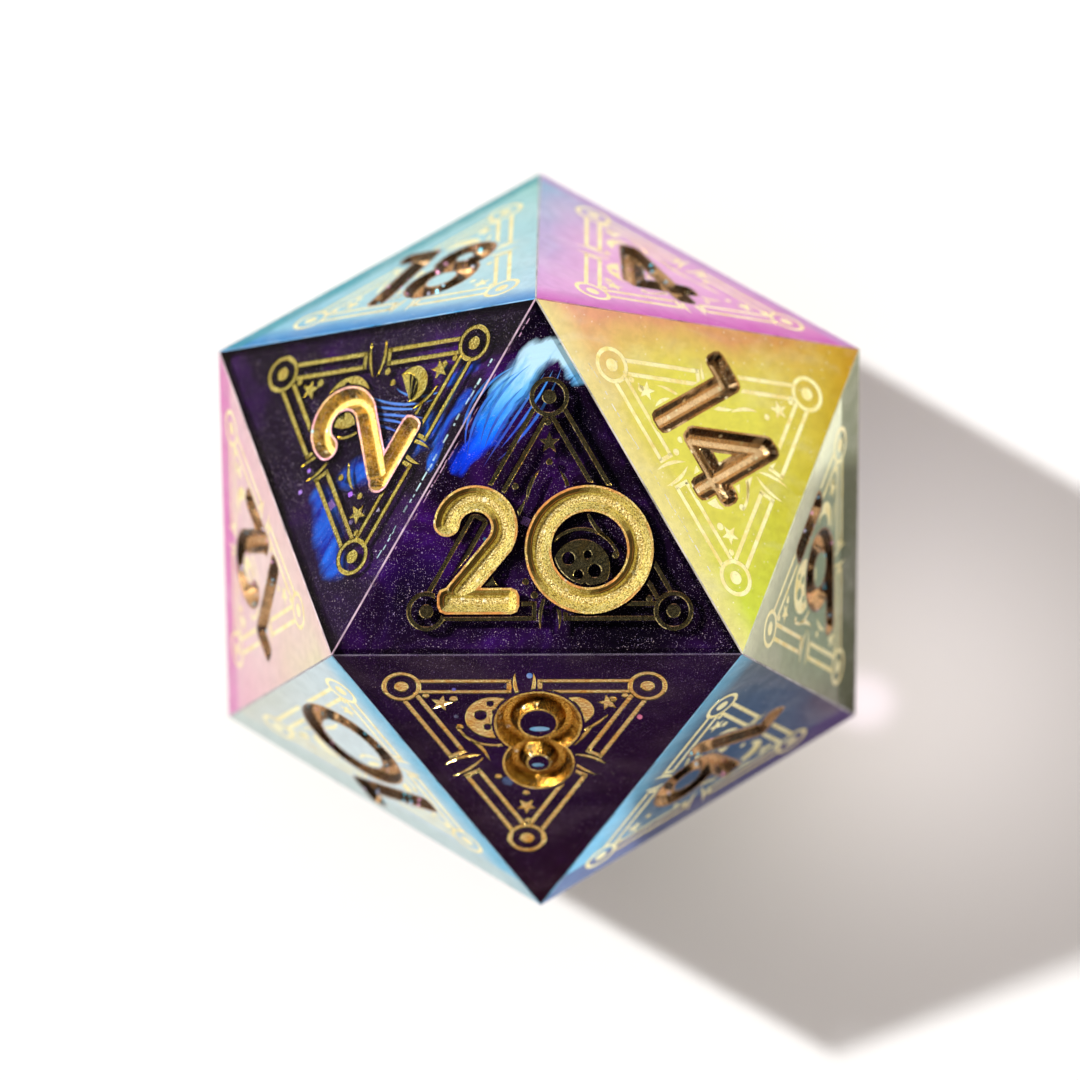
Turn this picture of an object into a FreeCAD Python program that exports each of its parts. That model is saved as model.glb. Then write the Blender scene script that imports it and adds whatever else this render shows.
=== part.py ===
"""Twenty-sided die: a dark core cast in clear resin, with an iridescent coat, gold numerals and gold foil.

Frame: millimetres, +Z up, origin at the centre of the face the die rests on. The face that carries 20 is
on top, and the apex its number points at lies toward +Y. Opposite faces add up to 21.
"""
import FreeCAD
import Part
import math
import os
import random

V = FreeCAD.Vector

# ---- driving dimensions, in mm ----
FACE_TO_FACE = 20.0          # across two opposite faces, the usual size of a full-size die
SKIN = 0.52                  # from a face to the core inside
COAT = 0.02                  # iridescent coat on each face
COAT_GAP = 0.035             # the coat is missing this far in from each sharp edge
STROKE = 0.85                # width of a numeral's groove at the face
FLOOR = 0.22                 # width of the groove's flat floor
CORNER_SHARE = 0.62          # corner rounding of a straight stroke, as a share of half its width
GROOVE_DEPTH = 0.42          # depth of the groove
GOLD = 0.07                  # thickness of the gold lining in the groove
PAIR_HEIGHT = 4.15           # height of the digits of a two-digit number
SINGLE_HEIGHT = 4.4          # height of a lone digit
DIGIT_GAP = 0.18             # clear space between two digits
UNDERLINE = 2.8              # length of the bar under 6 and 9
UNDERLINE_GAP = 0.34         # clear space between the digit and its bar
TOP_SHIFT = (0.22, -0.44)    # the widest number, 20, sits a little off its face's centre
FOIL = 0.1                   # thickness of the foil ornament, flush with the face
FOIL_GAP = 0.08              # foil stops this far from a numeral's groove
FOIL_SHIFT = (0.42, -0.12)   # the ornament sits a little off the face's centre
FRAME_CORNER = 4.59          # from the ornament's centre to each of its three corner rings
RING_RADIUS = 0.64           # outside radius of a corner ring
LINE = 0.15                  # width of the frame's lines
RAIL_SPACING = 0.47          # between the two lines of each side of the frame
STAR_OFFSET = 3.12           # from the ornament's centre to each star
STRAND_WIDTH = 0.09          # pigment strands in the surface of the core
INLAY = 0.04                 # thickness of the strands and flakes
FLAKE_COUNT = 110
OVERSHOOT = 0.25             # cutters reach this far outside a face

# ---- sizes that follow ----
INRADIUS = FACE_TO_FACE / 2
GOLDEN = (1 + math.sqrt(5)) / 2
EDGE = INRADIUS * 12 / (math.sqrt(3) * (3 + math.sqrt(5)))
CENTRE = V(0, 0, INRADIUS)
RING_SMALL = EDGE / math.sqrt(3)
RING_LARGE = RING_SMALL * GOLDEN
WAIST = INRADIUS / GOLDEN ** 3


def vertex(radius, height, angle):
    turn = math.radians(angle)
    return CENTRE + V(radius * math.cos(turn), radius * math.sin(turn), height)


TOP = {angle: vertex(RING_SMALL, INRADIUS, angle) for angle in (90, 210, 330)}
UPPER = {angle: vertex(RING_LARGE, WAIST, angle) for angle in (30, 150, 270)}
LOWER = {angle: vertex(RING_LARGE, -WAIST, angle) for angle in (90, 210, 330)}

# Number on a face of the upper half -> (the apex it points at, the two other corners of the face).
FACES = {
    20: (TOP[90], TOP[210], TOP[330]),
    2: (UPPER[150], TOP[90], TOP[210]),
    14: (UPPER[30], TOP[330], TOP[90]),
    8: (UPPER[270], TOP[210], TOP[330]),
    18: (LOWER[90], UPPER[150], TOP[90]),
    4: (LOWER[90], TOP[90], UPPER[30]),
    12: (LOWER[210], UPPER[150], TOP[210]),
    10: (LOWER[210], TOP[210], UPPER[270]),
    16: (LOWER[330], UPPER[270], TOP[330]),
    6: (LOWER[330], TOP[330], UPPER[30]),
}
for number in list(FACES):
    FACES[21 - number] = tuple(CENTRE * 2 - corner for corner in FACES[number])

# The ornament is turned by a third of a turn from face to face.
ORNAMENT_TURN = {number: 120 * (number % 3 + 1) for number in FACES}
for number in (20, 14, 8, 6):
    ORNAMENT_TURN[number] = 0
for number in (18, 4, 10, 16):
    ORNAMENT_TURN[number] = 240
for number in (2, 12):
    ORNAMENT_TURN[number] = 120


def face_placement(number):
    """Local frame of a face: origin at its centre, x to the number's right, y to its apex, z outward."""
    corners = FACES[number]
    middle = (corners[0] + corners[1] + corners[2]) / 3
    z_axis = (middle - CENTRE).normalize()
    y_axis = (corners[0] - middle).normalize()
    x_axis = y_axis.cross(z_axis)
    return FreeCAD.Placement(middle, FreeCAD.Rotation(x_axis, y_axis, z_axis, "ZYX"))


def placed(shape, number):
    copy = shape.copy()
    copy.transformShape(face_placement(number).toMatrix())
    return copy


def triangle(corners):
    return Part.Face(Part.makePolygon(list(corners) + [corners[0]]))


def icosahedron(inradius):
    scale = inradius / INRADIUS
    faces = []
    for corners in FACES.values():
        faces.append(triangle([CENTRE + (corner - CENTRE) * scale for corner in corners]))
    return Part.Solid(Part.makeShell(faces))


# ---- numerals: every digit is a set of strokes ----
class Groove:
    """Section of a groove; inset > 0 makes it smaller all round, top is how far it reaches above the face."""

    def __init__(self, inset, top):
        slope = (STROKE - FLOOR) / 2 / GROOVE_DEPTH
        self.low = inset - GROOVE_DEPTH
        self.top = top
        self.half_low = FLOOR / 2 - inset + slope * inset
        self.half_top = STROKE / 2 - inset + slope * top

    def outline(self, start, finish, half, z):
        """Rectangle around a straight stroke at height z, with its corners rounded off in two steps."""
        along = (finish - start).normalize()
        side = V(-along.y, along.x, 0)
        reach = half - STROKE / 2
        turn = half * CORNER_SHARE
        points = []
        for end, forward, sideways in ((finish, 1, -1), (finish, 1, 1), (start, -1, 1), (start, -1, -1)):
            hub = end + along * (forward * (reach - turn)) + side * (sideways * (half - turn))
            first = 0 if forward != sideways else 90
            for angle in (0, 45, 90):
                lean = math.radians(abs(first - angle))
                step = side * (sideways * math.cos(lean)) + along * (forward * math.sin(lean))
                spot = hub + step * turn
                points.append(V(spot.x, spot.y, z))
        return Part.makePolygon(points + [points[0]])

    def bar(self, start, finish):
        """Straight stroke whose outline ends exactly at the two given points."""
        low = self.outline(V(*start, 0), V(*finish, 0), self.half_low, self.low)
        high = self.outline(V(*start, 0), V(*finish, 0), self.half_top, self.top)
        return Part.makeLoft([low, high], True, True)

    def bend(self, centre, radius, start, sweep):
        """Stroke along an arc, from an angle through a sweep, in degrees."""
        points = [
            V(radius - self.half_low, 0, self.low),
            V(radius + self.half_low, 0, self.low),
            V(radius + self.half_top, 0, self.top),
            V(radius - self.half_top, 0, self.top),
        ]
        section = Part.Face(Part.makePolygon(points + [points[0]]))
        section.rotate(V(0, 0, 0), V(0, 0, 1), start)
        solid = section.revolve(V(0, 0, 0), V(0, 0, 1), sweep)
        solid.translate(V(centre[0], centre[1], 0))
        return solid

    def knob(self, x, y):
        """Round end or round joint."""
        return Part.makeCone(self.half_low, self.half_top, self.top - self.low, V(x, y, self.low))


def on_circle(centre, radius, angle):
    turn = math.radians(angle)
    return (centre[0] + radius * math.cos(turn), centre[1] + radius * math.sin(turn))


def digit_strokes(digit, height):
    """Width of the digit and its strokes, with the digit standing on y = 0 and starting at x = 0."""
    half = STROKE / 2
    if digit == 0:
        centre = (height / 2, height / 2)
        return height, [("bend", centre, height / 2 - half, 0, 360)]
    if digit == 1:
        width = 1.56
        stem = width - half
        return width, [
            ("bar", (stem, 0), (stem, height)),
            ("bar", (0, height - half), (width, height - half)),
        ]
    if digit == 2:
        width = 2.76
        radius = 1.36 - half
        centre = (1.36, height - 1.36)
        leave = on_circle(centre, radius, -40)
        foot = (leave[0] - (leave[1] - half) * math.tan(math.radians(40)), half)
        return width, [
            ("bend", centre, radius, -42, 214),
            ("knob",) + on_circle(centre, radius, 172),
            ("bar", (leave[0] + 0.3, leave[1] + 0.3 / math.tan(math.radians(40))), foot),
            ("knob",) + foot,
            ("bar", (0.12, half), (width, half)),
        ]
    if digit == 3:
        low_radius = 0.84 * height / PAIR_HEIGHT
        high_radius = (height - 2 * half - 2 * low_radius) / 2
        low_centre = (1.32, half + low_radius)
        high_centre = (1.26, height - half - high_radius)
        return low_centre[0] + low_radius + half, [
            ("bend", low_centre, low_radius, -158, 248),
            ("knob",) + on_circle(low_centre, low_radius, -158),
            ("bend", high_centre, high_radius, -90, 246),
            ("knob",) + on_circle(high_centre, high_radius, 156),
            ("knob", low_centre[0], low_centre[1] + low_radius),
        ]
    if digit == 4:
        width = 2.9
        stem = width - 0.98
        return width, [
            ("bar", (stem, 0), (stem, height)),
            ("bar", (0.04, 1.16), (width, 1.16)),
            ("bar", (0.24, 0.92), (stem + 0.1, height - 0.12)),
        ]
    if digit == 5:
        radius = 0.95 * height / PAIR_HEIGHT
        centre = (1.34, half + radius)
        join = on_circle(centre, radius, 128)
        return centre[0] + radius + half, [
            ("bend", centre, radius, -152, 280),
            ("knob",) + on_circle(centre, radius, -152),
            ("knob",) + join,
            ("bar", (join[0] - 0.06, join[1] - 0.42), (join[0] + 0.16, height)),
            ("bar", (join[0] - 0.3, height - half), (centre[0] + radius + 0.3, height - half)),
        ]
    if digit in (6, 9):
        radius = 1.01 * height / SINGLE_HEIGHT
        width = 2 * (radius + half)
        centre = (width / 2, width / 2)
        leave = on_circle(centre, radius, 152)
        rise = height - 0.06 - leave[1]
        tip = (leave[0] + rise * math.tan(math.radians(28)), leave[1] + rise)
        root = (leave[0] - 0.4 * math.tan(math.radians(28)), leave[1] - 0.4)
        strokes = [("bend", centre, radius, 0, 360), ("bar", root, tip)]
        if digit == 6:
            return width, strokes
        centre = (width - centre[0], height - centre[1])
        root = (width - root[0], height - root[1])
        tip = (width - tip[0], height - tip[1])
        return width, [("bend", centre, radius, 0, 360), ("bar", root, tip)]
    if digit == 7:
        width = 2.74
        return width, [
            ("bar", (0, height - half), (width - 0.04, height - half)),
            ("bar", (0.88, 0), (width - 0.5, height - 0.02)),
        ]
    low_radius = 1.01 * height / SINGLE_HEIGHT
    high_radius = 0.76 * height / SINGLE_HEIGHT
    width = 2 * (low_radius + half)
    return width, [
        ("bend", (width / 2, half + low_radius), low_radius, 0, 360),
        ("bend", (width / 2, height - half - high_radius), high_radius, 0, 360),
    ]


def numeral_layout(number):
    """Strokes of a whole number, digit by digit, centred on its face."""
    digits = [int(character) for character in str(number)]
    height = SINGLE_HEIGHT if len(digits) == 1 else PAIR_HEIGHT
    drawn = [digit_strokes(digit, height) for digit in digits]
    total = sum(width for width, strokes in drawn) + DIGIT_GAP * (len(digits) - 1)
    shift_x, shift_y = TOP_SHIFT if number == 20 else (0, 0)
    x = shift_x - total / 2
    y = shift_y - height / 2
    layout = []
    if number in (6, 9):
        bar_y = -UNDERLINE_GAP - STROKE / 2
        y += (UNDERLINE_GAP + STROKE) / 2
        layout.append((shift_x - UNDERLINE / 2, y, [("bar", (0, bar_y), (UNDERLINE, bar_y))]))
    for width, strokes in drawn:
        layout.append((x, y, strokes))
        x += width + DIGIT_GAP
    return layout


def numeral_solids(number, inset, top):
    """One solid per digit (and one for an underline)."""
    groove = Groove(inset, top)
    solids = []
    for x, y, strokes in numeral_layout(number):
        pieces = []
        for kind, *values in strokes:
            pieces.append(getattr(groove, kind)(*values))
        whole = pieces[0]
        if len(pieces) > 1:
            whole = whole.multiFuse(pieces[1:]).removeSplitter()
        whole.translate(V(x, y, 0))
        solids.extend(whole.Solids)
    return solids


# ---- foil ornament: flat shapes in the face's plane ----
def disc(x, y, radius):
    return Part.Face(Part.Wire(Part.makeCircle(radius, V(x, y, 0))))


def band(x, y, radius, width):
    return disc(x, y, radius).cut(disc(x, y, radius - width))


def line(start, finish, width):
    start = V(*start, 0)
    finish = V(*finish, 0)
    along = (finish - start).normalize()
    side = V(-along.y, along.x, 0) * (width / 2)
    points = [start - side, finish - side, finish + side, start + side]
    return Part.Face(Part.makePolygon(points + [points[0]]))


def star(x, y, radius, tips, lean, waist=0.42):
    points = []
    for step in range(2 * tips):
        reach = radius if step % 2 == 0 else radius * waist
        points.append(V(*on_circle((x, y), reach, lean + 180.0 * step / tips), 0))
    return Part.Face(Part.makePolygon(points + [points[0]]))


def leaf(start, finish, bulge):
    """Sliver between two arcs that meet at both ends."""
    start = V(*start, 0)
    finish = V(*finish, 0)
    middle = (start + finish) / 2
    along = (finish - start).normalize()
    side = V(-along.y, along.x, 0)
    one = Part.Arc(start, middle + side * bulge, finish).toShape()
    two = Part.Arc(finish, middle + side * (bulge * 0.25), start).toShape()
    return Part.Face(Part.Wire([one, two]))


def crescent(x, y, radius, bite, lean):
    bite_x, bite_y = on_circle((x, y), bite, lean)
    return disc(x, y, radius).cut(disc(bite_x, bite_y, radius * 0.86))


def polar(radius, angle):
    return on_circle((0, 0), radius, angle)


def ornament_outline():
    """The whole ornament on a bare face: frame, stars, and a moon with rays, leaves and dots."""
    shapes = []
    rail = RAIL_SPACING / 2
    reach = FRAME_CORNER * math.sqrt(3) / 2
    apothem = FRAME_CORNER / 2
    stop = reach - RING_RADIUS + 0.06
    for corner in range(3):
        x, y = polar(FRAME_CORNER, 90 + 120 * corner)
        shapes.append(band(x, y, RING_RADIUS, 0.15))
        shapes.append(disc(x, y, 0.23))
        side = []
        for offset in (-rail, rail):
            side.append(line((-stop, -apothem + offset), (-0.5, -apothem + offset), LINE))
            side.append(line((0.5, -apothem + offset), (stop, -apothem + offset), LINE))
        side.append(line((-0.5, -apothem - rail - LINE / 2), (-0.5, -apothem + rail + LINE / 2), LINE))
        side.append(line((0.5, -apothem - rail - LINE / 2), (0.5, -apothem + rail + LINE / 2), LINE))
        side.append(leaf((-0.3, -apothem - 0.6), (-0.07, -apothem + 0.66), 0.17))
        side.append(leaf((0.3, -apothem - 0.6), (0.07, -apothem + 0.66), -0.17))
        for shape in side:
            shape.rotate(V(0, 0, 0), V(0, 0, 1), 120 * corner)
            shapes.append(shape)
    for angle in (90, 210, 330):
        x, y = polar(STAR_OFFSET, angle)
        shapes.append(star(x, y, 0.36, 5, angle))
    # the moon, toward one corner, with craters and a halo
    moon_x, moon_y = 1.02, -0.9
    moon = disc(moon_x, moon_y, 0.92)
    craters = [(-0.42, 0.3, 0.2), (0.2, 0.42, 0.13), (0.42, -0.1, 0.21), (-0.1, -0.22, 0.15), (0.1, -0.62, 0.12)]
    for x, y, radius in craters:
        moon = moon.cut(disc(moon_x + x, moon_y + y, radius))
    shapes.append(moon)
    halo = band(moon_x, moon_y, 1.3, 0.11)
    wedge = [V(moon_x, moon_y, 0)]
    wedge += [V(*on_circle((moon_x, moon_y), 3, angle), 0) for angle in (18, 65, 112, 160)]
    shapes.append(halo.common(Part.Face(Part.makePolygon(wedge + [wedge[0]]))))
    for step in range(6):
        near = on_circle((moon_x, moon_y), 1.5, 24 + 25 * step)
        far = on_circle((moon_x, moon_y), 2.15 if step % 2 else 2.6, 24 + 25 * step)
        shapes.append(leaf(near, far, 0.11))
    # a crescent and its companions on the other side
    shapes.append(crescent(-1.62, -1.2, 0.62, 0.34, 25))
    shapes.append(star(-1.3, -1.12, 0.2, 4, 45, 0.36))
    for start, finish, bulge in (
        ((-2.7, -1.05), (-1.75, -0.3), 0.16),
        ((-2.2, -0.62), (-1.2, 0.55), 0.2),
        ((-1.75, 0.1), (-0.75, 1.4), -0.22),
        ((-0.72, 1.2), (-0.3, 2.25), 0.18),
        ((0.3, 2.25), (0.62, 1.25), 0.18),
        ((2.05, -0.15), (1.15, 1.05), 0.2),
    ):
        shapes.append(leaf(start, finish, bulge))
    for x, y, radius in (
        (-2.85, -1.72, 0.12),
        (-0.5, -1.78, 0.12),
        (-0.78, -1.35, 0.11),
        (2.3, -1.75, 0.13),
        (2.12, -0.5, 0.11),
        (0, 2.5, 0.11),
        (-0.05, 3.78, 0.11),
        (3.2, -1.9, 0.11),
        (-3.25, -1.88, 0.11),
        (0.9, 1.75, 0.11),
        (-1.1, 1.72, 0.11),
    ):
        shapes.append(disc(x, y, radius))
    return shapes


def ornament_face(number, outline):
    """Flat pieces of foil left on one face once the numeral has taken its place."""
    whole = outline.copy()
    whole.rotate(V(0, 0, 0), V(0, 0, 1), ORNAMENT_TURN[number])
    whole.translate(V(FOIL_SHIFT[0], FOIL_SHIFT[1], 0))
    return whole.cut(Part.makeCompound(numeral_solids(number, -FOIL_GAP, FOIL / 2)))


def thicken(flat, top):
    solids = []
    for face in flat.Faces:
        if face.Area < 0.03 or face.Area < 0.035 * face.Length:
            continue
        base = face.copy()
        base.translate(V(0, 0, -FOIL))
        solids.append(base.extrude(V(0, 0, FOIL + top)))
    return solids


# ---- coat on the outside, and what lies in the surface of the core ----
def coat_facet(number, tools):
    """Thin coat on one face, open where the face is engraved."""
    corners = FACES[number]
    middle = (corners[0] + corners[1] + corners[2]) / 3
    wires = []
    for inradius in (INRADIUS - COAT, INRADIUS):
        scale = inradius / INRADIUS
        hub = CENTRE + (middle - CENTRE) * scale
        shrink = 1 - COAT_GAP / (RING_SMALL * scale / 2)
        points = []
        for corner in corners:
            spot = CENTRE + (corner - CENTRE) * scale
            points.append(hub + (spot - hub) * shrink)
        wires.append(Part.makePolygon(points + [points[0]]))
    return Part.makeLoft(wires, True, True).cut(tools).Solids


def inlay(flat, number):
    """A flat shape let into the core's surface under a face, flush with it."""
    solid = flat.extrude(V(0, 0, INLAY))
    solid.translate(V(0, 0, -SKIN - INLAY))
    return placed(solid, number)


def strand(number, start, finish, bow):
    """Thin curved strand of pigment, tapering to both ends."""
    along = (finish - start).normalize()
    side = V(-along.y, along.x, 0)
    middle = (start + finish) / 2 + side * bow
    one = Part.Arc(start, middle + side * (STRAND_WIDTH / 2), finish).toShape()
    two = Part.Arc(finish, middle - side * (STRAND_WIDTH / 2), start).toShape()
    return inlay(Part.Face(Part.Wire([one, two])), number)


def pigment_strands():
    """A feather of strands by the apex of the 20 and a smaller one beside the 2, each strand its own length."""
    chance = random.Random(15)
    strands = []
    for number, count, first, last, to_first, to_last, bow_first, bow_last in (
        (20, 8, (-2.95, 1.5), (-1.5, 2.1), (-0.6, 5.5), (1.0, 5.7), 0.8, -0.3),
        (2, 6, (2.9, -2.9), (0.9, -2.2), (1.5, 0.9), (-0.4, 1.9), 0.5, -0.35),
    ):
        for step in range(count):
            share = step / (count - 1.0)
            start = V(*first, 0) * (1 - share) + V(*last, 0) * share
            finish = V(*to_first, 0) * (1 - share) + V(*to_last, 0) * share
            along = finish - start
            start = start + along * chance.uniform(0, 0.3)
            finish = finish - along * chance.uniform(0, 0.3)
            bow = bow_first * (1 - share) + bow_last * share
            strands.append(strand(number, start, finish, bow * (finish - start).Length / along.Length))
    return strands


def flakes():
    """Small flat flakes scattered over the core, each clear of its neighbours and of the strands."""
    chance = random.Random(20)
    numbers = sorted(FACES)
    taken = []
    solids = []
    while len(solids) < FLAKE_COUNT:
        number = numbers[len(solids) % 20]
        x, y = on_circle((0, 0), 3.2 * math.sqrt(chance.random()), chance.uniform(0, 360))
        size = chance.uniform(0.09, 0.24)
        turn = chance.uniform(0, 120)
        on_strands = (number == 20 and y > 0.6) or (number == 2 and x > -1.4)
        crowded = any(n == number and math.hypot(x - u, y - v) < 0.7 for n, u, v in taken)
        if on_strands or crowded:
            continue
        taken.append((number, x, y))
        sides = chance.choice((3, 4, 5))
        points = [V(*on_circle((x, y), size, turn + 360.0 * k / sides), 0) for k in range(sides)]
        solids.append(inlay(Part.Face(Part.makePolygon(points + [points[0]])), number))
    return solids


def save(name, solids):
    shape = solids[0] if len(solids) == 1 else Part.makeCompound(solids)
    shape.exportStep("parts/%s.step" % name)


def build():
    os.makedirs("parts", exist_ok=True)
    outline = Part.makeCompound(ornament_outline())
    body = icosahedron(INRADIUS - COAT)
    coat = []
    for number in sorted(FACES):
        pockets = numeral_solids(number, 0, OVERSHOOT)
        hollow = Part.makeCompound(numeral_solids(number, GOLD, OVERSHOOT))
        lining = []
        for solid in numeral_solids(number, 0, 0):
            lining.extend(solid.cut(hollow).Solids)
        flat = ornament_face(number, outline)
        save("numeral_%02d" % number, [placed(solid, number) for solid in lining])
        save("ornament_%02d" % number, [placed(solid, number) for solid in thicken(flat, 0)])
        tools = [placed(solid, number) for solid in pockets + thicken(flat, OVERSHOOT)]
        coat.extend(coat_facet(number, tools))
        body = body.cut(tools)
    core = icosahedron(INRADIUS - SKIN)
    cavity = core.OuterShell.reversed()
    strands = pigment_strands()
    specks = flakes()
    save("clear_body", [Part.Solid(Part.makeCompound([body.Solids[0].OuterShell, cavity]))])
    save("iridescent_coat", coat)
    save("tinted_core", core.cut(strands + specks).Solids)
    save("pigment_swirl", strands)
    save("glitter_flakes", specks)


build()
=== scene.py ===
import bmesh
import bpy
import math
import random
from collections import namedtuple
from mathutils import Matrix, Vector


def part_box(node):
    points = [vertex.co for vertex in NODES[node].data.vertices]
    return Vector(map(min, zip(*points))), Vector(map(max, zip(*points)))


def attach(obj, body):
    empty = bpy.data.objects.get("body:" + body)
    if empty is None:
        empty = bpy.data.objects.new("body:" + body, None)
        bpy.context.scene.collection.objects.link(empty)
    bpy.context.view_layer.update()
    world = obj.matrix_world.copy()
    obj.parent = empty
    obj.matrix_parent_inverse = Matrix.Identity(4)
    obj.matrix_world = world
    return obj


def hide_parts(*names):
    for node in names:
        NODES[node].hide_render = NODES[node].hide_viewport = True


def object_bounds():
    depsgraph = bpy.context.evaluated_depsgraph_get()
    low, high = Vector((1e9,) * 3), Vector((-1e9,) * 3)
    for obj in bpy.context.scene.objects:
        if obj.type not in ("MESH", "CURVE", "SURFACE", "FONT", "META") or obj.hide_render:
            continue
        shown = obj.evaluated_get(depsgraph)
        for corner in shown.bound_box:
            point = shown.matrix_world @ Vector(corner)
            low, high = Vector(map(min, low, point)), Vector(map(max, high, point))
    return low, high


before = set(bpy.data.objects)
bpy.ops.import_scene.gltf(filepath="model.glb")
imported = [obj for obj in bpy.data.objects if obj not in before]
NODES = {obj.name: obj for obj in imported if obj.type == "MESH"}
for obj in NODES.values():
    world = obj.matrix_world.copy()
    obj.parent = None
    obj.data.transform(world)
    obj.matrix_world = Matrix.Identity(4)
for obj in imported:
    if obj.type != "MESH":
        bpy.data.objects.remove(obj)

# A twenty-sided die: clear skin over a dark core, iridescent coat, gold numerals and gold foil ornament.

CAD_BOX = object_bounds()
MM = 0.001

# ---- the die's shape, from the CAD box: its height is the distance across two faces ----
INRADIUS = (CAD_BOX[1].z - CAD_BOX[0].z) / 2
GOLDEN = (1 + math.sqrt(5)) / 2
EDGE = INRADIUS * 12 / (math.sqrt(3) * (3 + math.sqrt(5)))
CENTRE = Vector((0, 0, INRADIUS))
RING_SMALL = EDGE / math.sqrt(3)
RING_LARGE = RING_SMALL * GOLDEN
WAIST = INRADIUS / GOLDEN ** 3
GROOVE = 0.35 * MM        # from a face to the gold floor of a numeral
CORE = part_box("tinted_core")
CORE_INRADIUS = (CORE[1].z - CORE[0].z) / 2
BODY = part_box("clear_body")
BODY_INRADIUS = (BODY[1].z - BODY[0].z) / 2
ON_PLANE = 1.5e-6         # a mesh face lies on a plane when its middle is this near
SAME_POINT = 2e-6         # points this near each other are one point


def vertex(radius, height, angle):
    turn = math.radians(angle)
    return CENTRE + Vector((radius * math.cos(turn), radius * math.sin(turn), height))


TOP = {angle: vertex(RING_SMALL, INRADIUS, angle) for angle in (90, 210, 330)}
UPPER = {angle: vertex(RING_LARGE, WAIST, angle) for angle in (30, 150, 270)}
LOWER = {angle: vertex(RING_LARGE, -WAIST, angle) for angle in (90, 210, 330)}
FACES = {
    20: (TOP[90], TOP[210], TOP[330]),
    2: (UPPER[150], TOP[90], TOP[210]),
    14: (UPPER[30], TOP[330], TOP[90]),
    8: (UPPER[270], TOP[210], TOP[330]),
    18: (LOWER[90], UPPER[150], TOP[90]),
    4: (LOWER[90], TOP[90], UPPER[30]),
    12: (LOWER[210], UPPER[150], TOP[210]),
    10: (LOWER[210], TOP[210], UPPER[270]),
    16: (LOWER[330], UPPER[270], TOP[330]),
    6: (LOWER[330], TOP[330], UPPER[30]),
}
for number in list(FACES):
    FACES[21 - number] = tuple(CENTRE * 2 - corner for corner in FACES[number])


Axes = namedtuple("Axes", "middle right up out")


def face_axes(number):
    """Middle, right, up and outward of a face, with up toward the apex its number points at."""
    apex, one, two = FACES[number]
    middle = (apex + one + two) / 3
    out = (middle - CENTRE).normalized()
    up = (apex - middle).normalized()
    return Axes(middle, up.cross(out), up, out)


def on_face(number, x, y, depth=0.0):
    """A point given in the face's own plane, in metres, at a depth under it."""
    axes = face_axes(number)
    return axes.middle + axes.right * x + axes.up * y - axes.out * depth


def direction(azimuth, elevation):
    a, e = math.radians(azimuth), math.radians(elevation)
    return Vector((math.cos(a) * math.cos(e), math.sin(a) * math.cos(e), math.sin(e)))


# ---- colours and node graphs ----
def colour(text, alpha=1.0):
    """Linear colour from an sRGB hex code."""
    parts = [int(text[k:k + 2], 16) / 255 for k in (0, 2, 4)]
    line = [p / 12.92 if p <= 0.04045 else ((p + 0.055) / 1.055) ** 2.4 for p in parts]
    return (line[0], line[1], line[2], alpha)


class Graph:
    """Short way to write the nodes of a material or a world."""

    def __init__(self, owner):
        owner.use_nodes = True
        self.owner = owner
        self.tree = owner.node_tree
        self.tree.nodes.clear()

    def put(self, socket, value):
        if isinstance(value, bpy.types.NodeSocket):
            self.tree.links.new(value, socket)
        elif value is not None:
            if socket.type == "RGBA" and not hasattr(value, "__len__"):
                value = (value, value, value, 1)
            if socket.type == "VECTOR" and not hasattr(value, "__len__"):
                value = (value, value, value)
            socket.default_value = value

    def add(self, kind, inputs=None, **settings):
        node = self.tree.nodes.new(kind)
        for key, value in settings.items():
            setattr(node, key, value)
        for key, value in (inputs or {}).items():
            self.put(node.inputs[key], value)
        return node

    def math(self, operation, a, b=None, c=None, clamp=False):
        node = self.add("ShaderNodeMath", operation=operation, use_clamp=clamp)
        for slot, value in enumerate((a, b, c)):
            self.put(node.inputs[slot], value)
        return node.outputs[0]

    def vector(self, operation, a, b=None, scale=None):
        node = self.add("ShaderNodeVectorMath", operation=operation)
        self.put(node.inputs[0], a)
        self.put(node.inputs[1], b)
        if scale is not None:
            self.put(node.inputs["Scale"], scale)
        gives_number = operation in ("DOT_PRODUCT", "LENGTH", "DISTANCE")
        return node.outputs["Value" if gives_number else "Vector"]

    def part(self, vector, slot):
        """One of the three numbers of a vector."""
        return self.add("ShaderNodeSeparateXYZ", {0: vector}).outputs[slot]

    def mix(self, share, a, b, kind="MIX"):
        node = self.add("ShaderNodeMix", data_type="RGBA", blend_type=kind)
        self.put(node.inputs[0], share)
        self.put(node.inputs[6], a)
        self.put(node.inputs[7], b)
        return node.outputs[2]

    def blend(self, share, one, two):
        """Mix of two shaders."""
        return self.add("ShaderNodeMixShader", {0: share, 1: one, 2: two}).outputs[0]

    def shader(self, kind, **inputs):
        names = {name.replace("_", " "): value for name, value in inputs.items()}
        return self.add("ShaderNode" + kind, names).outputs[0]

    def ramp(self, value, *stops):
        """stops are (position, colour or number)."""
        node = self.add("ShaderNodeValToRGB")
        marks = node.color_ramp.elements
        while len(marks) < len(stops):
            marks.new(0.5)
        for mark, (place, shade) in zip(marks, stops):
            mark.position = place
            mark.color = shade if hasattr(shade, "__len__") else (shade, shade, shade, 1)
        self.put(node.inputs[0], value)
        return node.outputs[0]

    def ray(self, kind):
        return self.add("ShaderNodeLightPath").outputs["Is %s Ray" % kind]

    def end(self, kind, shader):
        out = self.add(kind)
        self.tree.links.new(shader, out.inputs["Surface"])
        return self.owner


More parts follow.
